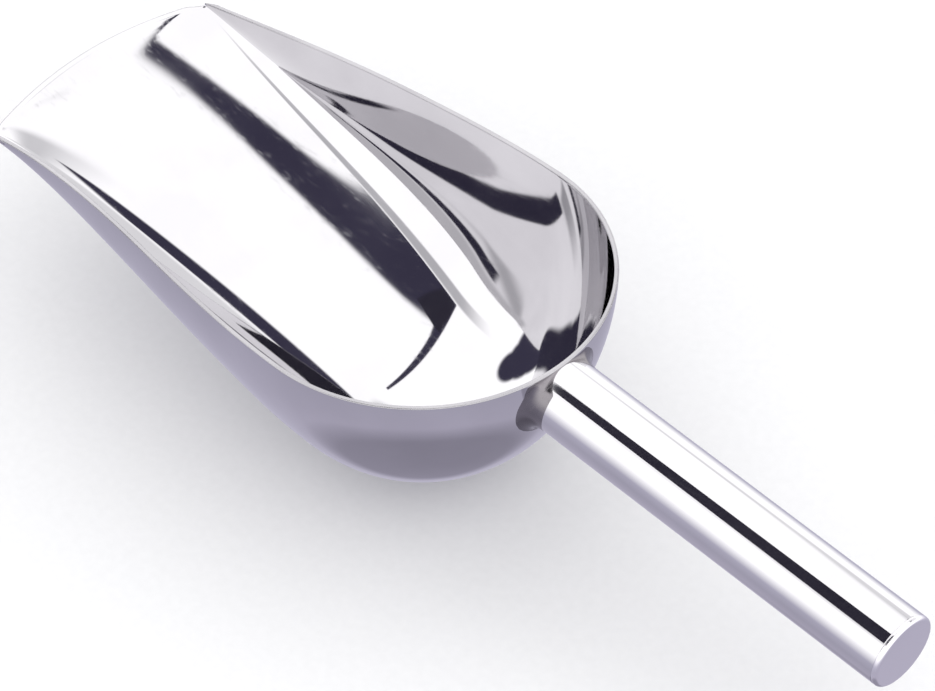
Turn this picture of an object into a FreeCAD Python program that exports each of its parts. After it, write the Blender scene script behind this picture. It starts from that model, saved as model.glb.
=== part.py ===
"""Pressed stainless-steel ice scoop: a domed, open-fronted bowl welded to a closed round tube handle.

Frame: millimetres, +Z up, with the rim of the bowl level and the lowest point of its floor on z = 0, as it
balances on a flat surface. +X runs the way the handle points and the lip faces -X. The origin is the middle of
the base of the bounding box.

The bowl's form is drawn about the centre of the dome's rim.
"""
import FreeCAD, Part
import math
import os
import Sketcher
from FreeCAD import Placement, Rotation, Vector

# name, value (mm or degrees), meaning
DIMENSIONS = [
    ("dome_x", -15.17, "place of the dome's axis along X"),
    ("dome_radius", 47.0, "outside radius of the rim round the back"),
    ("bowl_depth", 55.0, "rim down to the deepest point"),
    ("trough_length", 117.0, "dome axis to the corners of the lip"),
    ("lip_half_width", 36.0, "half the width across the lip"),
    ("lip_bow", 5.5, "how far the middle of the lip stands forward of its corners"),
    ("lip_corner", 8.0, "radius that rounds the lip's corners"),
    ("rim_drop", 7.5, "fall of the rim from its level part to the lip"),
    ("rim_level", 50.0, "length of level rim forward of the dome axis"),
    ("floor_arc", 46.0, "radius of the floor under the dome axis, seen from the side"),
    ("floor_slope", 22.5, "slope of the straight floor below the rim's level, in degrees"),
    ("back_fullness", 0.6, "how boxy the floor is at the dome, as a share of the half width"),
    ("lip_fullness", 0.85, "the same at the lip"),
    ("back_wall", 0.53, "length of the upright wall at the dome, as a share of the depth"),
    ("lip_wall", 0.8, "the same at the lip"),
    ("wall_draft", 2.5, "lean of the wall from upright, in degrees"),
    ("sheet_gauge", 1.16, "thickness of the pressed sheet"),
    ("handle_radius", 9.5, "outside radius of the handle tube"),
    ("tube_wall", 1.0, "wall of the handle tube"),
    ("root_x", 50.5, "dome axis to the root of the handle"),
    ("root_drop", 10.0, "rim down to the handle's centre line at its root"),
    ("handle_length", 102.0, "root to the outer face of the end cap"),
    ("handle_droop", 3.8, "fall of the handle against the rim, in degrees"),
    ("handle_reach", 6.0, "spare tube ahead of the root, coped away to the bowl's wall"),
    ("cap_gauge", 1.5, "thickness of the end cap"),
    ("cap_edge", 1.0, "radius that rounds the end cap's edge"),
    ("spigot_length", 4.0, "length of the end cap's spigot inside the tube"),
    ("spigot_gap", 0.05, "clearance all round the spigot in the tube"),
    ("weld_radius", 5.4, "hollow radius of the weld that joins the handle to the bowl"),
    ("weld_toe", 0.4, "root to the weld's toe on the tube"),
]

SPANS = 12          # stretches of the trough's walls between one section and the next
REACH = 200.0       # larger than the scoop, for cutting bodies


def make_sheet(doc):
    """Put the driving dimensions into a spreadsheet, one aliased number a row."""
    sheet = doc.addObject("Spreadsheet::Sheet", "Dims")
    for row, (name, value, meaning) in enumerate(DIMENSIONS, start=1):
        sheet.set(f"A{row}", name)
        sheet.set(f"B{row}", str(value))
        sheet.set(f"C{row}", meaning)
        sheet.setAlias(f"B{row}", name)
    doc.recompute()
    return sheet


# ---------------------------------------------------------------- the bowl's form

def blend(start, end, share):
    return start + (end - start) * share


def lip_share(x, dims):
    """How much of the lip's section there is at x: 0 at the dome, 1 at the lip, eased at both ends."""
    share = -x / dims.trough_length
    return share * share * (3.0 - 2.0 * share)


def rim_height(x, dims):
    """Rim height against its level part: a gentle curve down to the lip."""
    share = max((-x - dims.rim_level) / (dims.trough_length - dims.rim_level), 0.0)
    return -dims.rim_drop * share * share


def floor_height(x, dims):
    """Height and steepness of the floor's middle line: an arc, then its tangent line out to the lip."""
    slope = math.radians(dims.floor_slope)
    arc_z = dims.floor_arc - dims.bowl_depth
    tangent_x = -dims.floor_arc * math.sin(slope)
    if x > tangent_x:
        drop = math.sqrt(dims.floor_arc ** 2 - x * x)
        return arc_z - drop, x / drop
    return arc_z - dims.floor_arc * math.cos(slope) + (tangent_x - x) * math.tan(slope), math.tan(slope)


def section_poles(x, side, inset, dims):
    """Four control points of the half section at x, from the floor's middle line up to the rim."""
    share = lip_share(x, dims)
    floor, steepness = floor_height(x, dims)
    top = rim_height(x, dims)
    width = blend(dims.dome_radius, dims.lip_half_width, share) - inset
    depth = top - floor - inset * math.hypot(1.0, steepness)
    wall = blend(dims.back_wall, dims.lip_wall, share) * depth
    lean = wall * math.tan(math.radians(dims.wall_draft))
    fullness = blend(dims.back_fullness, dims.lip_fullness, share)
    profile = [(0.0, depth), (fullness * width, depth), (width - lean, wall), (width, 0.0)]
    return [Vector(x, side * y, top - below) for y, below in profile]


def bezier(points):
    curve = Part.BezierCurve()
    curve.setPoles(points)
    return curve.toShape()


def line(start, end):
    return Part.LineSegment(start, end).toShape()


def trough_wall(side, inset, dims):
    """One side of the trough: the four control points of its section, each carried smoothly along it."""
    stations = [dims.trough_length * index / SPANS for index in range(SPANS + 1)]
    rows = [section_poles(-distance, side, inset, dims) for distance in stations]
    nearly = section_poles(0.01 - dims.trough_length, side, inset, dims)
    paths = []
    for index in range(4):
        path = Part.BSplineCurve()
        path.interpolate(
            Points=[row[index] for row in rows],
            Parameters=stations,
            InitialTangent=Vector(-1, 0, 0),
            FinalTangent=(rows[-1][index] - nearly[index]) * 100.0,
        )
        paths.append(path)
    knots, repeats = paths[0].getKnots(), paths[0].getMultiplicities()
    poles = list(zip(*(path.getPoles() for path in paths)))
    surface = Part.BSplineSurface()
    surface.buildFromPolesMultsKnots(poles, repeats, [4, 4], knots, [0.0, 1.0], False, False, 3, 3)
    return surface


def bowl_form(inset, spare, rise, dims):
    """The bowl filled in and closed: the dome, the two trough walls, and the lip's section carried straight on.

    The spare is how far it runs on past the tip of the lip, and the rise is how far it stands above the rim.
    """
    up = Vector(0, 0, rise)
    on = Vector(-1, 0, math.tan(math.radians(dims.floor_slope))) * (dims.lip_bow + spare)
    radius = dims.dome_radius - inset
    left, right = (trough_wall(side, inset, dims) for side in (-1, 1))
    ends = [section_poles(-dims.trough_length, side, inset, dims) for side in (-1, 1)]
    dome_rim = Part.Arc(Vector(0, -radius, 0), Vector(radius, 0, 0), Vector(0, radius, 0)).toShape()
    rims = [left.vIso(1.0).toShape(), right.vIso(1.0).toShape(), dome_rim]
    rims += [line(end[3], end[3] + on) for end in ends]
    tops = [rim.translated(up) for rim in rims]
    last = line(ends[0][3] + up, ends[1][3] + up)
    front = [bezier(end) for end in ends] + [last]

    faces = [left.toShape(), right.toShape(), Part.makeRuledSurface(tops[0], tops[1]), last.extrude(on)]
    faces.append(bezier(section_poles(0.0, -1, inset, dims)).revolve(Vector(), Vector(0, 0, 1), 180))
    faces.append(Part.Face(Part.Wire([tops[2], line(Vector(0, radius, rise), Vector(0, -radius, rise))])))
    faces += [bezier(end).extrude(on) for end in ends]
    if rise:
        faces += [rim.extrude(up) for rim in rims]
        front += [line(end[3], end[3] + up) for end in ends]
    faces.append(Part.Face(Part.Wire(Part.__sortEdges__(front))).translated(on))
    shell = Part.makeShell(faces)
    shell.sewShape()
    return Part.makeSolid(shell)


def dome_form(dims):
    """The dome's outside as a full turn, which shapes whatever is fitted against the back of the bowl."""
    poles = section_poles(0.0, 1, 0.0, dims)
    edges = [bezier(poles), line(poles[3], Vector()), line(Vector(), poles[0])]
    return Part.Face(Part.Wire(edges)).revolve(Vector(), Vector(0, 0, 1), 360)


# ---------------------------------------------------------------- helpers for bound objects

def bind(item, **formulas):
    """Bind properties to the sheet: a double underscore in a name stands for a dot."""
    for path, formula in formulas.items():
        item.setExpression(path.replace("__", "."), str(formula))
    return item


def seat(item, x, y, z):
    """Place an object by formulas for its origin, measured from the centre of the dome's rim."""
    return bind(
        item,
        Placement__Base__x=f"Dims.dome_x + ({x})",
        Placement__Base__y=y,
        Placement__Base__z=f"Dims.bowl_depth + ({z})",
    )


def seat_on_handle(item, distance):
    """Stand an object's Z axis along the handle, its origin a distance out from the root."""
    item.Placement = Placement(Vector(), Rotation(Vector(0, 1, 0), 90))
    bind(item, Placement__Rotation__Angle="(90 + Dims.handle_droop) * 1 deg")
    x = f"Dims.root_x + ({distance}) * cos(Dims.handle_droop)"
    z = f"-Dims.root_drop - ({distance}) * sin(Dims.handle_droop)"
    return seat(item, x, 0, z)


def primitive(doc, kind, name, **sizes):
    return bind(doc.addObject(kind, name), **sizes)


def combine(doc, kind, name, base, tool):
    item = doc.addObject(kind, name)
    item.Base = base
    item.Tool = tool
    item.Label = name
    return item


def half_plane_sketch(body, name):
    """A sketch on the body's YZ plane: sketch X is the radius and sketch Y runs along the body's Z axis."""
    plane = next(item for item in body.Origin.OriginFeatures if item.Role == "YZ_Plane")
    sketch = body.newObject("Sketcher::SketchObject", name)
    sketch.AttachmentSupport = (plane, [""])
    sketch.MapMode = "FlatFace"
    return sketch


def draw_chain(sketch, points):
    """Draw straight lines through points, joined end to end, each kept upright or level if it is so."""
    for (x, y), (next_x, next_y) in zip(points, points[1:]):
        index = sketch.addGeometry(Part.LineSegment(Vector(x, y, 0), Vector(next_x, next_y, 0)), False)
        sketch.addConstraint(Sketcher.Constraint("Vertical" if x == next_x else "Horizontal", index))


def join_ends(sketch, order):
    """Join each line's end to the start of the next in the order given, round to the first."""
    for index, following in zip(order, order[1:] + order[:1]):
        sketch.addConstraint(Sketcher.Constraint("Coincident", index, 2, following, 1))


def dimension(sketch, kind, points, value, formula):
    """Set the distance between two sketch points, along X or Y, by a formula on the sheet."""
    index = sketch.addConstraint(Sketcher.Constraint(kind, *points, value))
    sketch.setExpression(f"Constraints[{index}]", formula)


def turn(body, sketch, name):
    """Turn a sketch once round the body's Z axis."""
    turning = body.newObject("PartDesign::Revolution", name)
    turning.Profile = sketch
    turning.ReferenceAxis = (sketch, ["V_Axis"])
    turning.Angle = 360.0
    body.Tip = turning
    return turning


# ---------------------------------------------------------------- the pieces

def add_shape(doc, name, shape):
    """Put a built shape into the document, seated like everything else on the centre of the dome's rim."""
    feature = doc.addObject("Part::Feature", name)
    feature.Shape = shape
    return seat(feature, 0, 0, 0)


def lip_tools(doc):
    """The round blade that bows the lip, and the pair of tools that round its corners."""
    tip = "(-Dims.trough_length - Dims.lip_bow)"
    radius = "((Dims.lip_half_width ^ 2 + Dims.lip_bow ^ 2) / (2 * Dims.lip_bow))"
    blade = primitive(doc, "Part::Cylinder", "lip_blade", Radius=radius, Height=REACH)
    seat(blade, f"{tip} + {radius}", 0, -REACH / 2)

    y = "(Dims.lip_half_width - Dims.lip_corner)"
    x = f"({tip} + {radius} - sqrt(({radius} - Dims.lip_corner) ^ 2 - {y} ^ 2))"
    touch = f"({radius} * {y} / ({radius} - Dims.lip_corner))"
    corners = []
    for side, name in ((-1, "right_corner"), (1, "left_corner")):
        block = primitive(doc, "Part::Box", f"{name}_block", Length=f"{x} - {tip}", Width=20, Height=REACH)
        near = touch if side > 0 else f"-{touch} - 20"
        seat(block, tip, near, -REACH / 2)
        bar = primitive(doc, "Part::Cylinder", f"{name}_round", Radius="Dims.lip_corner", Height=REACH)
        seat(bar, x, f"{side} * {y}", -REACH / 2)
        corners.append(combine(doc, "Part::Cut", f"{name}_tool", block, bar))
    return blade, corners


def make_bowl(doc, dims):
    """The bowl: the outer form less the inner one, with the lip bowed and its corners rounded."""
    outer = add_shape(doc, "outer_form", bowl_form(0.0, 1.0, 0.0, dims))
    inner = add_shape(doc, "inner_form", bowl_form(dims.sheet_gauge, 2.0, 4.0, dims))
    pressing = combine(doc, "Part::Cut", "pressing", outer, inner)
    blade, corners = lip_tools(doc)
    bowed = combine(doc, "Part::Common", "bowed_pressing", pressing, blade)
    one_corner = combine(doc, "Part::Cut", "one_corner_rounded", bowed, corners[0])
    return combine(doc, "Part::Cut", "scoop_bowl", one_corner, corners[1])


def make_tube(doc, dome):
    """The handle tube, bored right through and coped to the outside of the bowl's wall."""
    length = "Dims.handle_reach + Dims.handle_length - Dims.cap_gauge"
    rod = primitive(doc, "Part::Cylinder", "tube_rod", Radius="Dims.handle_radius", Height=length)
    bore = primitive(doc, "Part::Cylinder", "tube_bore", Radius="Dims.handle_radius - Dims.tube_wall", Height=length)
    for item in (rod, bore):
        seat_on_handle(item, "-Dims.handle_reach")
    plain = combine(doc, "Part::Cut", "plain_tube", rod, bore)
    return combine(doc, "Part::Cut", "handle_tube", plain, dome)


def make_cap(doc):
    """The end cap: a disc with a rounded edge, and a short hollow spigot that sits inside the tube."""
    body = doc.addObject("PartDesign::Body", "handle_end_cap")
    sketch = half_plane_sketch(body, "cap_profile")
    corners = [(0, 0), (7.5, 0), (7.5, -4), (8.5, -4), (8.5, 0), (9.5, 0), (9.5, 1.5), (0, 1.5), (0, 0)]
    draw_chain(sketch, corners)
    join_ends(sketch, list(range(8)))
    spigot = "Dims.handle_radius - Dims.tube_wall - Dims.spigot_gap"
    sketch.addConstraint(Sketcher.Constraint("Coincident", 0, 1, -1, 1))
    sketch.addConstraint(Sketcher.Constraint("PointOnObject", 4, 1, -1))
    dimension(sketch, "DistanceX", (-1, 1, 1, 1), 7.5, f"{spigot} - Dims.tube_wall")
    dimension(sketch, "DistanceX", (-1, 1, 3, 1), 8.5, spigot)
    dimension(sketch, "DistanceX", (-1, 1, 5, 2), 9.5, "Dims.handle_radius")
    dimension(sketch, "DistanceY", (-1, 1, 7, 1), 1.5, "Dims.cap_gauge")
    dimension(sketch, "DistanceY", (1, 2, 1, 1), 4.0, "Dims.spigot_length")
    doc.recompute()
    disc = turn(body, sketch, "cap_turning")
    doc.recompute()
    edges = disc.Shape.Edges
    rim = next(i for i, edge in enumerate(edges, start=1) if is_outer_rim(edge, disc.Shape.BoundBox))
    rounding = body.newObject("PartDesign::Fillet", "cap_edge_round")
    rounding.Base = (disc, [f"Edge{rim}"])
    bind(rounding, Radius="Dims.cap_edge")
    body.Tip = rounding
    return seat_on_handle(body, "Dims.handle_length - Dims.cap_gauge")


def is_outer_rim(edge, box):
    """Whether an edge is the circle round the outside of the cap's outer face."""
    own = edge.BoundBox
    return own.ZMin > box.ZMax - 1e-6 and own.XLength > box.XLength - 1e-6


def make_weld(doc, dome):
    """The hollow fillet of weld round the handle's root, laid on the wall and kept under the rim."""
    body = doc.addObject("PartDesign::Body", "weld_ring")
    sketch = half_plane_sketch(body, "weld_profile")
    tube, centre, toe, heel = 9.5, 14.9, 0.4, -5.0
    draw_chain(sketch, [(centre, heel), (centre, 2 * heel), (tube, 2 * heel), (tube, toe)])
    circle = Part.Circle(Vector(centre, toe, 0), Vector(0, 0, 1), centre - tube)
    hollow = sketch.addGeometry(Part.ArcOfCircle(circle, math.pi, 1.5 * math.pi), False)
    sketch.addConstraint([
        Sketcher.Constraint("Coincident", 0, 2, 1, 1),
        Sketcher.Constraint("Coincident", 1, 2, 2, 1),
        Sketcher.Constraint("Coincident", 2, 2, hollow, 1),
        Sketcher.Constraint("Coincident", hollow, 2, 0, 1),
        Sketcher.Constraint("Horizontal", hollow, 3, hollow, 1),
        Sketcher.Constraint("Vertical", hollow, 3, hollow, 2),
    ])
    dimension(sketch, "DistanceX", (-1, 1, 2, 1), tube, "Dims.handle_radius")
    dimension(sketch, "DistanceX", (-1, 1, hollow, 3), centre, "Dims.handle_radius + Dims.weld_radius")
    dimension(sketch, "DistanceY", (-1, 1, hollow, 3), toe, "Dims.weld_toe")
    dimension(sketch, "DistanceY", (0, 2, 0, 1), -heel, "Dims.weld_radius")
    doc.recompute()
    turn(body, sketch, "weld_turning")
    seat_on_handle(body, 0)
    above = primitive(doc, "Part::Box", "above_rim", Length=REACH, Width=REACH, Height=REACH)
    seat(above, -REACH / 2, -REACH / 2, 0)
    trimmed = combine(doc, "Part::Cut", "weld_under_rim", body, above)
    return combine(doc, "Part::Cut", "handle_weld", trimmed, dome)


def check(doc, pieces):
    """Stop if anything in the document failed, or a piece is not one sound solid; list the sizes."""
    for item in doc.Objects:
        if "Invalid" in item.State or "Error" in item.State:
            raise RuntimeError(f"{item.Name} failed: {item.State}")
    for piece in pieces:
        shape = piece.Shape
        if shape.isNull() or not shape.isValid() or len(shape.Solids) != 1:
            raise RuntimeError(f"{piece.Label} is not one valid solid")
        box = shape.BoundBox
        print(f"{piece.Label:16s} volume {shape.Volume:9.1f}  x {box.XMin:8.2f} {box.XMax:8.2f}"
              f"  y {box.YMin:7.2f} {box.YMax:7.2f}  z {box.ZMin:7.2f} {box.ZMax:7.2f}")


def main():
    doc = FreeCAD.newDocument("ice_scoop")
    dims = make_sheet(doc)
    dome = add_shape(doc, "dome_form", dome_form(dims))
    pieces = [make_bowl(doc, dims), make_tube(doc, dome), make_cap(doc), make_weld(doc, dome)]
    doc.recompute()
    check(doc, pieces)
    os.makedirs("parts", exist_ok=True)
    for piece in pieces:
        piece.Shape.exportStep(f"parts/{piece.Label}.step")


main()
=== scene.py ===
"""Looks for a pressed and welded stainless-steel ice scoop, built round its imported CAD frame.

Everything is in metres in the CAD's frame: +Z up, the rim level, the handle towards +X. Sizes are given in
millimetres about the centre of the dome's rim.
"""

import math

import bpy
import bmesh
from mathutils import Matrix, Vector


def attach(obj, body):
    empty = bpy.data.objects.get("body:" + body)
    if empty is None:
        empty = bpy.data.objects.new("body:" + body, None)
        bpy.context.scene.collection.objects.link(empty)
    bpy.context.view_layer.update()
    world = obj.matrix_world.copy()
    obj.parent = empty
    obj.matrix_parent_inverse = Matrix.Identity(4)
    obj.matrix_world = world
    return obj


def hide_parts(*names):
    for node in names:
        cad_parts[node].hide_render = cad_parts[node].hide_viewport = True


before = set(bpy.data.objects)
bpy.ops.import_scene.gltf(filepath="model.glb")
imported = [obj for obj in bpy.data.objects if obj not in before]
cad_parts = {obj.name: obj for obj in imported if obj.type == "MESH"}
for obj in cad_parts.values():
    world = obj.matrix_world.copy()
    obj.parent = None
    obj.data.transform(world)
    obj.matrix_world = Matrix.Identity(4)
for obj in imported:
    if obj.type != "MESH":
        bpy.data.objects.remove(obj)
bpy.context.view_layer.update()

# ------------------------------------------------------------------ sizes, in millimetres and degrees

MM = 0.001
DOME_RADIUS = 47.0
BOWL_DEPTH = 55.0
TROUGH_LENGTH = 117.0
LIP_HALF_WIDTH = 36.0
LIP_BOW = 5.5
LIP_CORNER = 8.0
RIM_DROP = 7.5
RIM_LEVEL = 50.0
FLOOR_ARC = 46.0
FLOOR_SLOPE = math.radians(22.5)
BACK_FULLNESS, LIP_FULLNESS = 0.60, 0.85
BACK_WALL, LIP_WALL = 0.53, 0.80
WALL_DRAFT = math.radians(2.5)
SHEET = 1.16
EDGE_BULGE = 0.35       # how far the sheet's dressed edge stands beyond where its faces stop
EDGE_SQUARENESS = 0.6   # 1 for a round edge, lower for a squarer one
HANDLE_RADIUS = 9.5
HANDLE_ROOT = Vector((50.5, 0.0, -10.0))
HANDLE_DROOP = math.radians(3.8)
HANDLE_LENGTH = 102.0
CAP_GAUGE = 1.5
CAP_EDGE = 1.0
CAP_CROWN = 0.05        # how far the cap's face rises to its middle
SEAM = 0.08             # depth and half width of the fine seam between the tube and its cap
RIM_CENTRE = Vector((-15.17, 0.0, BOWL_DEPTH))


# ------------------------------------------------------------------ the bowl's form

def blend(start, end, share):
    return start + (end - start) * share


def lip_share(x):
    """How much of the lip's section there is at x: 0 at the dome, 1 at the lip and beyond it."""
    share = min(-x / TROUGH_LENGTH, 1.0)
    return share * share * (3.0 - 2.0 * share)


def rim_height(x):
    share = max((-x - RIM_LEVEL) / (TROUGH_LENGTH - RIM_LEVEL), 0.0)
    return -RIM_DROP * share * share


def floor_height(x):
    """Height and steepness of the floor's middle line: an arc, then its tangent line out to the lip."""
    arc_z = FLOOR_ARC - BOWL_DEPTH
    tangent_x = -FLOOR_ARC * math.sin(FLOOR_SLOPE)
    if x > tangent_x:
        drop = math.sqrt(FLOOR_ARC ** 2 - x * x)
        return arc_z - drop, x / drop
    steepness = math.tan(FLOOR_SLOPE)
    return arc_z - FLOOR_ARC * math.cos(FLOOR_SLOPE) + (tangent_x - x) * steepness, steepness


def section(x, inset):
    """Control points (y, z) of the half section at x, from the floor's middle line up to the rim."""
    beyond = max(-x - TROUGH_LENGTH, 0.0)
    x = max(x, -TROUGH_LENGTH)
    share = lip_share(x)
    floor, steepness = floor_height(x)
    top = rim_height(x) - EDGE_BULGE
    width = blend(DOME_RADIUS, LIP_HALF_WIDTH, share) - inset
    depth = top - floor - inset * math.hypot(1.0, steepness)
    wall = blend(BACK_WALL, LIP_WALL, share) * depth
    fullness = blend(BACK_FULLNESS, LIP_FULLNESS, share)
    top += beyond * math.tan(FLOOR_SLOPE)
    return [(0.0, top - depth), (fullness * width, top - depth),
            (width - wall * math.tan(WALL_DRAFT), top - wall), (width, top)]


def on_section(x, rise, inset):
    """A point (y, z) of the half section, rise 0 on the floor's middle line and 1 at the rim."""
    fall = 1.0 - rise
    weights = (fall ** 3, 3 * rise * fall ** 2, 3 * rise ** 2 * fall, rise ** 3)
    points = section(x, inset)
    return tuple(sum(w * p[axis] for w, p in zip(weights, points)) for axis in (0, 1))


def lip_edge(y):
    """Where the lip is cut at a distance y from the middle: a round bow with rounded corners."""
    radius = (LIP_HALF_WIDTH ** 2 + LIP_BOW ** 2) / (2 * LIP_BOW)
    centre = radius - TROUGH_LENGTH - LIP_BOW
    corner_y = LIP_HALF_WIDTH - LIP_CORNER
    corner_x = centre - math.sqrt((radius - LIP_CORNER) ** 2 - corner_y ** 2)
    if y < radius * corner_y / (radius - LIP_CORNER):
        return centre - math.sqrt(radius ** 2 - y * y)
    return corner_x - math.sqrt(max(LIP_CORNER ** 2 - (y - corner_y) ** 2, 0.0))


def lip_reach(rise, inset):
    """How far along x a line of constant rise runs before the lip's edge cuts it."""
    near, far = 0.9 * TROUGH_LENGTH, TROUGH_LENGTH + LIP_BOW + 1.0
    for _ in range(40):
        middle = (near + far) / 2
        if -middle > lip_edge(on_section(-middle, rise, inset)[0]):
            near = middle
        else:
            far = middle
    return near


# ------------------------------------------------------------------ mesh helpers

def make_object(name, verts, faces, replaced, slot, edge_faces=0):
    """A smooth-shaded mesh piece that rides on the root and replaces a CAD node.

    Its points are given about the rim's centre. The last edge_faces of its faces take its second material.
    """
    mesh = bpy.data.meshes.new(name)
    mesh.from_pydata([(RIM_CENTRE + v) * MM for v in verts], [], faces)
    for face in mesh.polygons[len(faces) - edge_faces:]:
        face.material_index = 1
    bm = bmesh.new()
    bm.from_mesh(mesh)
    bmesh.ops.remove_doubles(bm, verts=bm.verts, dist=1e-7)
    bmesh.ops.recalc_face_normals(bm, faces=bm.faces)
    bm.to_mesh(mesh)
    bm.free()
    mesh.shade_smooth()
    piece = bpy.data.objects.new(name, mesh)
    bpy.context.scene.collection.objects.link(piece)
    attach(piece, "root")
    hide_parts(replaced)
    return piece


def grid_faces(rows, columns, start=0, closed=False):
    """Quads of a grid of points stored row by row, closed round its columns if asked."""
    faces = []
    for row in range(rows - 1):
        for column in range(columns if closed else columns - 1):
            following = (column + 1) % columns
            a, b = start + row * columns, start + (row + 1) * columns
            faces.append((a + column, a + following, b + following, b + column))
    return faces


# ------------------------------------------------------------------ the bowl

ACROSS = 72         # steps from the floor's middle line up to the rim
ALONG = 110         # steps along the trough
ROUND = 96          # steps round the dome
EDGE_STEPS = 6      # steps over the sheet's edge


def rise_at(step):
    """Steps up the section, closer together towards the rim."""
    share = abs(step) / ACROSS
    return 1.0 - (1.0 - share) ** 1.25


def bowl_skin(inset):
    """One face of the sheet: rows from the lip to the dome, then round the dome, each from rim to rim."""
    rises = [(math.copysign(1, step), rise_at(step)) for step in range(-ACROSS, ACROSS + 1)]
    reaches = {rise: lip_reach(rise, inset) - EDGE_BULGE for _, rise in rises}
    rows = []
    for index in range(ALONG):
        share = 1.0 - index / ALONG
        row = []
        for side, rise in rises:
            x = -reaches[rise] * share
            y, z = on_section(x, rise, inset)
            row.append(Vector((x, side * y, z)))
        rows.append(row)
    profile = [on_section(0.0, rise, inset) for _, rise in rises[ACROSS:]]
    left = [Vector((0.0, -y, z)) for y, z in reversed(profile)]
    right = [Vector((0.0, y, z)) for y, z in profile[1:]]
    rows.append(left + right)
    return rows, profile


def dome_skin(profile):
    """The dome: rings of the half section turned from the left rim round to the right."""
    rings = []
    for index in range(ROUND + 1):
        turn = -math.pi / 2 + math.pi * index / ROUND
        rings.append([Vector((y * math.cos(turn), y * math.sin(turn), z)) for y, z in profile])
    return rings


def edge_path(rows, rings):
    """The sheet's whole edge: up the left rim from the dome, across the lip and back along the right rim."""
    left = [row[0] for row in reversed(rows[1:])]
    right = [row[-1] for row in rows[1:]]
    back = [ring[-1] for ring in reversed(rings[1:-1])]
    return left + rows[0] + right + back


def bowl_mesh():
    verts, faces, edges = [], [], []
    for inset in (0.0, SHEET):
        rows, profile = bowl_skin(inset)
        rings = dome_skin(profile)
        for grid in (rows, rings):
            faces += grid_faces(len(grid), len(grid[0]), start=len(verts))
            verts += [point for line in grid for point in line]
        edges.append(edge_path(rows, rings))
    outer, inner = edges
    count = len(outer)
    start = len(verts)
    for step in range(EDGE_STEPS + 1):
        turn = math.pi * step / EDGE_STEPS
        across = math.copysign(abs(math.cos(turn)) ** EDGE_SQUARENESS, math.cos(turn))
        out = math.sin(turn) ** EDGE_SQUARENESS * EDGE_BULGE if 0 < step < EDGE_STEPS else 0.0
        for index in range(count):
            a, b = outer[index], inner[index]
            along = outer[(index + 1) % count] - outer[index - 1]
            away = along.cross(a - b).normalized()
            verts.append((a + b) / 2 + (a - b) / 2 * across + away * out)
    faces += grid_faces(EDGE_STEPS + 1, count, start=start, closed=True)
    return verts, faces, EDGE_STEPS * count


bowl_verts, bowl_faces, bowl_edge_faces = bowl_mesh()
bowl = make_object("bowl_pressing", bowl_verts, bowl_faces, "scoop_bowl", "bowl_steel", bowl_edge_faces)

# ------------------------------------------------------------------ the handle

AXIS = Vector((math.cos(HANDLE_DROOP), 0.0, -math.sin(HANDLE_DROOP)))
SIDE = Vector((0.0, 1.0, 0.0))
OVER = AXIS.cross(SIDE)
HANDLE_ROUND = 160      # steps round the handle
TURNS = [2 * math.pi * step / HANDLE_ROUND for step in range(HANDLE_ROUND)]
SIDE_STEPS = 40         # steps along the tube
EDGE_TURNS = 8          # steps round the cap's edge
FACE_STEPS = 12         # steps in from the cap's edge to its middle
WELD_STEPS = 14         # steps across the weld
WELD_TOE = 0.16         # how much further the weld reaches out along the tube than over the wall
WELD_WIDTH = 4.2        # how far it spreads over the bowl's wall, at the sides
WELD_TOP = 0.75         # share of that width above and below
WELD_CLEARANCE = 0.5    # how far under the rim it stops


def around(distance, radius, turn):
    """A point about the handle's axis, a distance out from the root; a quarter turn is its top."""
    return HANDLE_ROOT + AXIS * distance + (SIDE * math.cos(turn) + OVER * math.sin(turn)) * radius


def turned_mesh(profile):
    """A skin turned about the handle's axis from a list of (distance, radius)."""
    verts = [around(distance, radius, turn) for distance, radius in profile for turn in TURNS]
    return verts, grid_faces(len(profile), HANDLE_ROUND, closed=True)


def wall_radius(z):
    """The dome's outside radius at a height below the rim."""
    low, high = 0.0, 1.0
    for _ in range(30):
        middle = (low + high) / 2
        if on_section(0.0, middle, 0.0)[1] < z:
            low = middle
        else:
            high = middle
    return on_section(0.0, low, 0.0)[0]


def wall_distance(radius, turn):
    """How far along the handle's axis from the root a line beside it meets the dome's outside."""
    distance = 0.0
    for _ in range(8):
        point = around(distance, radius, turn)
        front = math.sqrt(wall_radius(min(point.z, -EDGE_BULGE)) ** 2 - point.y ** 2)
        distance += (front - point.x) / AXIS.x
    return distance


def tube_mesh():
    """The tube's skin, from just inside the bowl's wall out to the cap, with a fine seam before the cap."""
    far = HANDLE_LENGTH - CAP_GAUGE
    seam = [(far - SEAM, HANDLE_RADIUS), (far, HANDLE_RADIUS - SEAM)]
    starts = [wall_distance(HANDLE_RADIUS, turn) - 0.3 for turn in TURNS]
    verts = []
    for step in range(SIDE_STEPS + 1):
        share = (step / SIDE_STEPS) ** 1.5
        for start, turn in zip(starts, TURNS):
            verts.append(around(blend(start, far - 3 * SEAM, share), HANDLE_RADIUS, turn))
    verts += [around(distance, radius, turn) for distance, radius in seam for turn in TURNS]
    return verts, grid_faces(SIDE_STEPS + 3, HANDLE_ROUND, closed=True)


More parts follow.
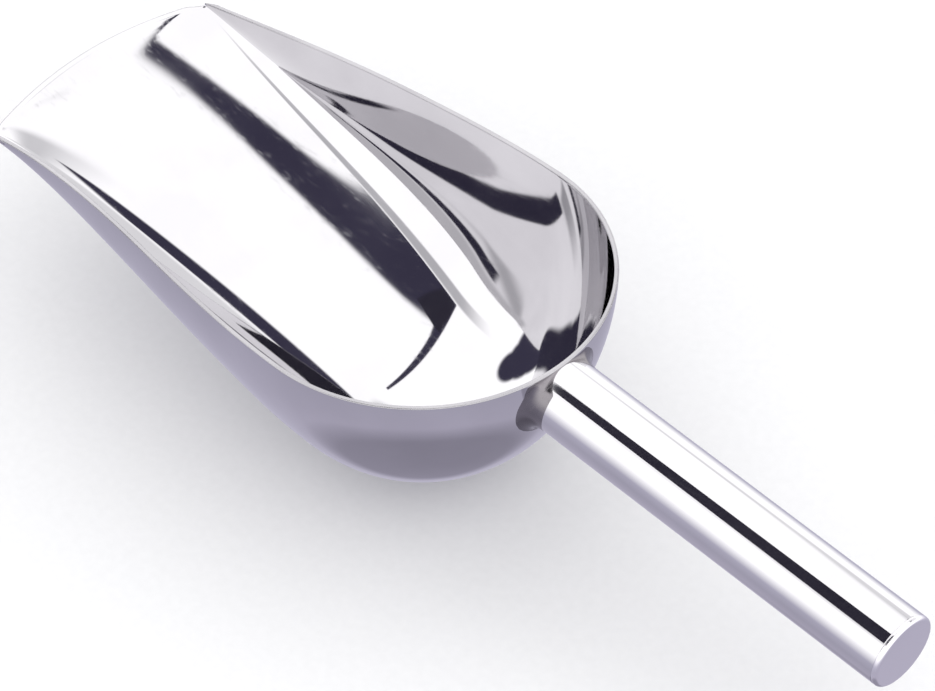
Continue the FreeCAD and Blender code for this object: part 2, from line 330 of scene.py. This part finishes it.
def cap_mesh():
    """The cap: a seam, a short straight side, a rounded edge and a face that is very slightly crowned."""
    near = HANDLE_LENGTH - CAP_GAUGE
    profile = [(near, HANDLE_RADIUS - SEAM), (near + SEAM, HANDLE_RADIUS), (near + 3 * SEAM, HANDLE_RADIUS)]
    for step in range(EDGE_TURNS + 1):
        turn = math.pi / 2 * step / EDGE_TURNS
        profile.append((HANDLE_LENGTH - CAP_EDGE * (1 - math.sin(turn)) - CAP_CROWN,
                        HANDLE_RADIUS - CAP_EDGE * (1 - math.cos(turn))))
    flat = HANDLE_RADIUS - CAP_EDGE
    for step in range(1, FACE_STEPS + 1):
        share = 1.0 - step / FACE_STEPS
        profile.append((HANDLE_LENGTH - CAP_CROWN * share ** 2, flat * share))
    return turned_mesh(profile)


def weld_mesh():
    """The dressed weld: a hollow blend from the tube to the bowl's wall, dying out under the rim."""
    columns = []
    for turn in TURNS:
        rise = math.sin(turn)
        width = WELD_WIDTH * blend(WELD_TOP, 1.0, math.cos(turn) ** 2)
        under_rim = (-HANDLE_ROOT.z - WELD_CLEARANCE) / max(rise, 0.01) - HANDLE_RADIUS
        width = max(min(width, under_rim), 0.02)
        corner = wall_distance(HANDLE_RADIUS, turn)
        toe = around(max(corner + width + WELD_TOE, corner + 0.1), HANDLE_RADIUS + 0.01, turn)
        root = around(corner, HANDLE_RADIUS, turn)
        foot = around(wall_distance(HANDLE_RADIUS + width, turn) - 0.04, HANDLE_RADIUS + width, turn)
        column = []
        for step in range(WELD_STEPS + 1):
            s = step / WELD_STEPS
            column.append(toe * (1 - s) ** 2 + root * 2 * s * (1 - s) + foot * s ** 2)
        columns.append(column)
    verts = [column[step] for step in range(WELD_STEPS + 1) for column in columns]
    return verts, grid_faces(WELD_STEPS + 1, HANDLE_ROUND, closed=True)


tube = make_object("handle_skin", *tube_mesh(), "handle_tube", "handle_steel")
cap = make_object("handle_cap", *cap_mesh(), "handle_end_cap", "cap_steel")
weld = make_object("handle_weld_bead", *weld_mesh(), "handle_weld", "weld_steel")

# ------------------------------------------------------------------ shader helpers

def feed(tree, socket, value):
    """Set a socket to a number or colour, or link it to another node's output."""
    if isinstance(value, bpy.types.NodeSocket):
        tree.links.new(value, socket)
    else:
        socket.default_value = value


def maths(tree, operation, *values):
    node = tree.nodes.new("ShaderNodeMath")
    node.operation = operation
    for socket, value in zip(node.inputs, values):
        feed(tree, socket, value)
    return node.outputs[0]


def ease(tree, value, low, high, start=0.0, end=1.0):
    """Map a value smoothly from one range to another, level beyond both ends."""
    node = tree.nodes.new("ShaderNodeMapRange")
    node.interpolation_type = "SMOOTHSTEP"
    given = {"Value": value, "From Min": low, "From Max": high, "To Min": start, "To Max": end}
    for name, setting in given.items():
        feed(tree, node.inputs[name], setting)
    return node.outputs[0]


def separate(tree, vector):
    node = tree.nodes.new("ShaderNodeSeparateXYZ")
    tree.links.new(vector, node.inputs[0])
    return node.outputs


def colours(tree, value, stops):
    """A colour that changes along a value, from (position, colour) stops."""
    node = tree.nodes.new("ShaderNodeValToRGB")
    tree.links.new(value, node.inputs[0])
    elements = node.color_ramp.elements
    for element, (position, colour) in zip([elements[0], elements[1]], [stops[0], stops[-1]]):
        element.position = position
        element.color = (*colour, 1.0)
    for position, colour in stops[1:-1]:
        elements.new(position).color = (*colour, 1.0)
    return node.outputs[0]


def grain(tree, stretch, scale, detail=2.0):
    """Noise over the object's own coordinates, pulled out along some of its axes; scale is per metre."""
    place = tree.nodes.new("ShaderNodeTexCoord")
    pull = tree.nodes.new("ShaderNodeMapping")
    pull.inputs["Scale"].default_value = stretch
    noise = tree.nodes.new("ShaderNodeTexNoise")
    noise.inputs["Scale"].default_value = scale
    noise.inputs["Detail"].default_value = detail
    tree.links.new(place.outputs["Object"], pull.inputs["Vector"])
    tree.links.new(pull.outputs[0], noise.inputs["Vector"])
    return noise.outputs["Fac"]


# ------------------------------------------------------------------ materials

def bump(tree, height, distance, under=None):
    node = tree.nodes.new("ShaderNodeBump")
    node.inputs["Distance"].default_value = distance
    tree.links.new(height, node.inputs["Height"])
    if under is not None:
        tree.links.new(under, node.inputs["Normal"])
    return node.outputs[0]


def steel(name, light, dark, roughness, lines, line_depth, wave_depth):
    """Stainless steel: a mottled sheen, fine polishing lines, and slow waves left by pressing and polishing.

    The lines are given by how their noise is stretched along X, Y and Z. Depths are in metres.
    """
    material = bpy.data.materials.new(name)
    material.use_nodes = True
    tree = material.node_tree
    shader = tree.nodes["Principled BSDF"]
    shader.inputs["Metallic"].default_value = 1.0
    cloud = grain(tree, (1.0, 1.0, 1.0), 45.0, 4.0)
    line = grain(tree, lines, 900.0, 3.0)
    wave = grain(tree, (1.0, 1.0, 1.0), 22.0, 1.0)
    feed(tree, shader.inputs["Base Color"], colours(tree, cloud, [(0.35, dark), (0.65, light)]))
    clear, dull = roughness
    sheen = ease(tree, cloud, 0.3, 0.7, clear, dull)
    scuffs = ease(tree, line, 0.52, 0.75, 0.0, (dull - clear) * 1.5)
    feed(tree, shader.inputs["Roughness"], maths(tree, "ADD", sheen, scuffs))
    waves = bump(tree, wave, wave_depth)
    feed(tree, shader.inputs["Normal"], bump(tree, line, line_depth, waves))
    return material


steels = {
    bowl: steel("bowl_polished_steel", (0.64, 0.63, 0.65), (0.60, 0.59, 0.61), (0.025, 0.05),
                (0.06, 1.0, 1.0), 1.5e-7, 3e-5),
    tube: steel("tube_polished_steel", (0.64, 0.63, 0.65), (0.61, 0.60, 0.62), (0.03, 0.06),
                (0.04, 1.0, 1.0), 2e-7, 1e-5),
    cap: steel("cap_satin_steel", (0.79, 0.77, 0.80), (0.76, 0.74, 0.77), (0.14, 0.2),
               (1.0, 1.0, 0.05), 2e-7, 1e-5),
    # the weld's brownish-grey tint is its own; its darkness, well below the other steel, is painted shade in
    # the join between tube and wall
    weld: steel("weld_steel_painted_shade", (0.27, 0.25, 0.27), (0.18, 0.17, 0.18), (0.15, 0.28),
                (1.0, 0.3, 1.0), 4e-7, 4e-5),
}
for piece, material in steels.items():
    piece.data.materials.append(material)

edge_steel = steel("edge_dressed_steel", (0.46, 0.45, 0.47), (0.38, 0.37, 0.39), (0.2, 0.32),
                   (1.0, 1.0, 1.0), 3e-7, 1e-5)
bowl.data.materials.append(edge_steel)

# ------------------------------------------------------------------ light

WHITE = 1.65        # brightness of the white tent round the scoop
TENT = [            # (how high the direction looks, 0 straight down and 1 straight up; share of the white)
    (0.03, (0.21, 0.20, 0.25)),
    (0.06, (0.34, 0.325, 0.40)),
    (0.15, (0.32, 0.31, 0.38)),
    (0.30, (0.38, 0.37, 0.45)),
    (0.53, (1.0, 1.0, 1.0)),
]
NAVY = (0.035, 0.032, 0.055)
GAPS = [
    # overhead, along the trough
    dict(start=(0.015, 0.515), end=(-0.063, -0.9), widths=(0.017, 0.068), bow=0.062, soft=0.006),
    # on the near side, fading towards the lip
    dict(start=(-0.06, -1.03), end=(-0.9, -1.05), widths=(0.11, 0.11), depths=(0.6, 0.0), fade=(0.1, 0.8),
         soft=0.03),
    # on the far side
    dict(start=(-0.25, 1.25), end=(0.4, 1.25), widths=(0.17, 0.17), soft=0.03),
    # greyer zones lower on the far side, and beyond the lip's corner
    dict(start=(-0.9, 2.6), end=(0.9, 2.6), widths=(1.1, 1.1), depths=(0.35, 0.35), soft=0.1),
    dict(start=(-0.15, 0.72), end=(-0.6, 1.6), widths=(0.1, 0.1), depths=(0.45, 0.45), soft=0.08),
]
DOORWAY = [(211.0, 18.0, 13.0), (209.0, 25.0, 11.0), (208.0, 33.0, 9.0)]     # azimuth, elevation, radius
FLAG_HEIGHT = 0.2
FLAG_CORNERS = [(-0.03, -0.055), (0.13, -0.034), (0.105, -0.165), (-0.05, -0.135)]
FLAG_GLOW = (0.014, 0.012, 0.022)


def gap(tree, ceiling, start, end, widths, depths=(1.0, 1.0), fade=(0.0, 1.0), bow=0.0, soft=0.01):
    """How dark a long gap between the tent's panels is, drawn on a ceiling one unit up.

    Its half width and its depth change from start to end, and it bows to one side.
    """
    a, b = ceiling
    length = math.dist(start, end)
    along_a = (end[0] - start[0]) / length
    along_b = (end[1] - start[1]) / length
    before = start[0] * along_a + start[1] * along_b
    beside = start[1] * along_a - start[0] * along_b
    along = maths(tree, "MULTIPLY_ADD", a, along_a, maths(tree, "MULTIPLY_ADD", b, along_b, -before))
    aside = maths(tree, "MULTIPLY_ADD", a, -along_b, maths(tree, "MULTIPLY_ADD", b, along_a, -beside))
    share = maths(tree, "DIVIDE", along, length)
    curve = maths(tree, "MULTIPLY", share, maths(tree, "SUBTRACT", 1.0, share))
    aside = maths(tree, "MULTIPLY_ADD", curve, -4.0 * bow, aside)
    reach = maths(tree, "MINIMUM", maths(tree, "MAXIMUM", share, 0.0), 1.0)
    width = maths(tree, "MULTIPLY_ADD", reach, widths[1] - widths[0], widths[0])
    beyond = maths(tree, "SUBTRACT", maths(tree, "ABSOLUTE", aside), width)
    depth = ease(tree, share, *fade, *depths)
    for part in (ease(tree, along, -soft, soft), ease(tree, along, length + soft, length - soft),
                 ease(tree, beyond, soft, -soft)):
        depth = maths(tree, "MULTIPLY", depth, part)
    return depth


def spot(tree, direction, azimuth, elevation, radius, soft=1.5):
    """How dark a round patch of the tent is, at a direction and with a radius in degrees."""
    turn, rise = math.radians(azimuth), math.radians(elevation)
    level = math.cos(rise)
    node = tree.nodes.new("ShaderNodeVectorMath")
    node.operation = "DOT_PRODUCT"
    tree.links.new(direction, node.inputs[0])
    node.inputs[1].default_value = (math.cos(turn) * level, math.sin(turn) * level, math.sin(rise))
    outside, inside = (math.cos(math.radians(angle)) for angle in (radius + soft, radius - soft))
    return ease(tree, node.outputs["Value"], outside, inside)


def studio_light():
    """A white tent with dark gaps between its panels overhead, grey-lavender below."""
    world = bpy.data.worlds.new("studio")
    world.use_nodes = True
    tree = world.node_tree
    direction = tree.nodes.new("ShaderNodeTexCoord").outputs["Generated"]
    x, y, z = separate(tree, direction)
    above = maths(tree, "MAXIMUM", z, 0.02)
    ceiling = maths(tree, "DIVIDE", x, above), maths(tree, "DIVIDE", y, above)
    darks = [gap(tree, ceiling, **layout) for layout in GAPS]
    darks += [spot(tree, direction, *place) for place in DOORWAY]
    dark = darks[0]
    for other in darks[1:]:
        dark = maths(tree, "MAXIMUM", dark, other)
    dark = maths(tree, "MULTIPLY", dark, ease(tree, z, 0.0, 0.05))

    mix = tree.nodes.new("ShaderNodeMix")
    mix.data_type = "RGBA"
    feed(tree, mix.inputs["Factor"], dark)
    tent, navy = [socket for socket in mix.inputs if socket.type == "RGBA"]
    feed(tree, tent, colours(tree, maths(tree, "MULTIPLY_ADD", z, 0.5, 0.5), TENT))
    feed(tree, navy, (*NAVY, 1.0))
    background = tree.nodes["Background"]
    feed(tree, background.inputs["Color"], next(socket for socket in mix.outputs if socket.type == "RGBA"))
    background.inputs["Strength"].default_value = WHITE
    bpy.context.scene.world = world
    bpy.context.scene.view_settings.view_transform = "Standard"


def add_flag():
    """A dark flag low over the handle, seen only in the steel."""
    mesh = bpy.data.meshes.new("flag")
    mesh.from_pydata([(x, y, FLAG_HEIGHT) for x, y in FLAG_CORNERS], [], [(0, 1, 2, 3)])
    material = bpy.data.materials.new("flag_cloth")
    material.use_nodes = True
    shader = material.node_tree.nodes["Principled BSDF"]
    shader.inputs["Base Color"].default_value = (0.005, 0.005, 0.006, 1.0)
    shader.inputs["Roughness"].default_value = 0.95
    shader.inputs["Emission Color"].default_value = (*FLAG_GLOW, 1.0)
    shader.inputs["Emission Strength"].default_value = WHITE
    mesh.materials.append(material)
    flag = bpy.data.objects.new("flag", mesh)
    flag.visible_camera = False
    flag.visible_diffuse = False
    flag.visible_shadow = False
    bpy.context.scene.collection.objects.link(flag)


# ------------------------------------------------------------------ floor and camera

FLOOR_REACH = 6.0
PAPER = [(0.3, (0.70, 0.70, 0.71)), (0.7, (0.72, 0.72, 0.73))]


def add_floor():
    """A pale matt floor. The steel reflects the tent's own grey underside in place of it."""
    mesh = bpy.data.meshes.new("floor")
    corners = [(-1, -1), (1, -1), (1, 1), (-1, 1)]
    mesh.from_pydata([(x * FLOOR_REACH, y * FLOOR_REACH, 0) for x, y in corners], [], [(0, 1, 2, 3)])
    material = bpy.data.materials.new("floor_paper")
    material.use_nodes = True
    tree = material.node_tree
    shader = tree.nodes["Principled BSDF"]
    shader.inputs["Specular IOR Level"].default_value = 0.1
    fibre = grain(tree, (1.0, 1.0, 1.0), 400.0, 4.0)
    feed(tree, shader.inputs["Base Color"], colours(tree, fibre, PAPER))
    feed(tree, shader.inputs["Roughness"], ease(tree, fibre, 0.3, 0.7, 0.8, 0.95))
    feed(tree, shader.inputs["Normal"], bump(tree, fibre, 2e-5))
    mesh.materials.append(material)
    floor = bpy.data.objects.new("floor", mesh)
    floor.visible_glossy = False
    bpy.context.scene.collection.objects.link(floor)


CAMERA_AZIMUTH = math.radians(45.86)
CAMERA_ELEVATION = math.radians(44.92)
CAMERA_ROLL = math.radians(-1.16)
CAMERA_DISTANCE = 0.9972
CAMERA_LENS = 161.9
CAMERA_AIM = Vector((0.0018, -0.0016, 0.0417))


def add_camera():
    a, e = CAMERA_AZIMUTH, CAMERA_ELEVATION
    back = Vector((math.sin(a) * math.cos(e), -math.cos(a) * math.cos(e), math.sin(e)))
    level = Vector((math.cos(a), math.sin(a), 0.0))
    upright = back.cross(level)
    right = level * math.cos(CAMERA_ROLL) + upright * math.sin(CAMERA_ROLL)
    up = back.cross(right)
    data = bpy.data.cameras.new("camera")
    data.lens = CAMERA_LENS
    data.sensor_width = 36.0
    data.clip_start, data.clip_end = 0.05, 20.0
    camera = bpy.data.objects.new("camera", data)
    turn = Matrix((right, up, back)).transposed().to_4x4()
    camera.matrix_world = Matrix.Translation(CAMERA_AIM + back * CAMERA_DISTANCE) @ turn
    bpy.context.scene.collection.objects.link(camera)
    bpy.context.scene.camera = camera


add_floor()
studio_light()
add_flag()
add_camera()
